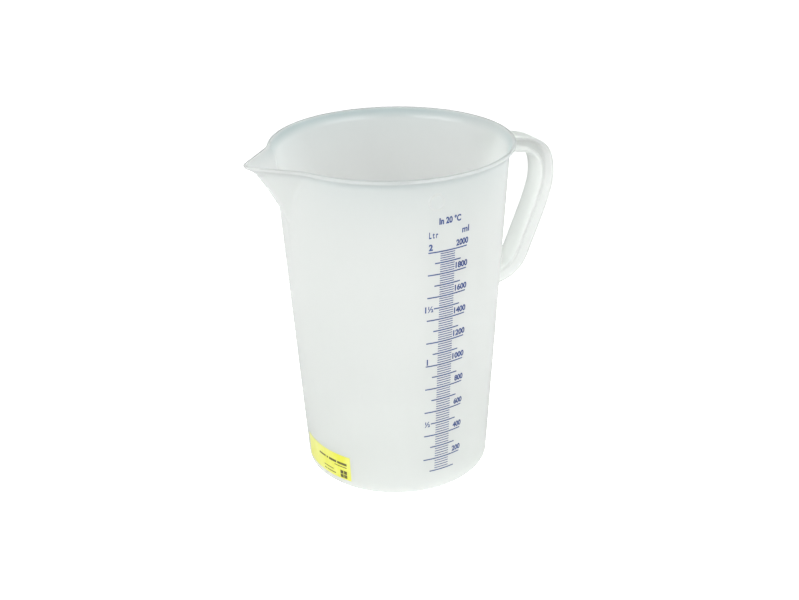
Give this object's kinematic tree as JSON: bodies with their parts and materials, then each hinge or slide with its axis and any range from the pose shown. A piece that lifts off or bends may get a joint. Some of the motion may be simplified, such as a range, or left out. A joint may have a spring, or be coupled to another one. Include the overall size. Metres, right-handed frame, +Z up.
{
  "type": "measuring jug",
  "caption": "Tapered translucent plastic measuring jug with flared lip, V-shaped pouring spout, closed I-section handle and a printed volume scale.",
  "frame": {"origin": "on the surface the jug stands on, in the middle of its outline between the spout's tip and the handle's outer face; the jug's own axis is 10 mm towards -X", "axes": "+Z up along the jug's axis, +X from the spout towards the handle, the printed scale on the -Y side"},
  "size_m": [0.2084, 0.1494, 0.2137],
  "materials": {
    "natural_polypropylene": "translucent moulded polypropylene, satin gloss",
    "blue_ink": "screen-printed ink",
    "yellow_label": "printed self-adhesive film"
  },
  "bodies": {
    "root": {"jug_body": "natural_polypropylene", "handle": "natural_polypropylene", "printed_scale": "blue_ink", "product_label": "yellow_label"}
  },
  "joints": []
}
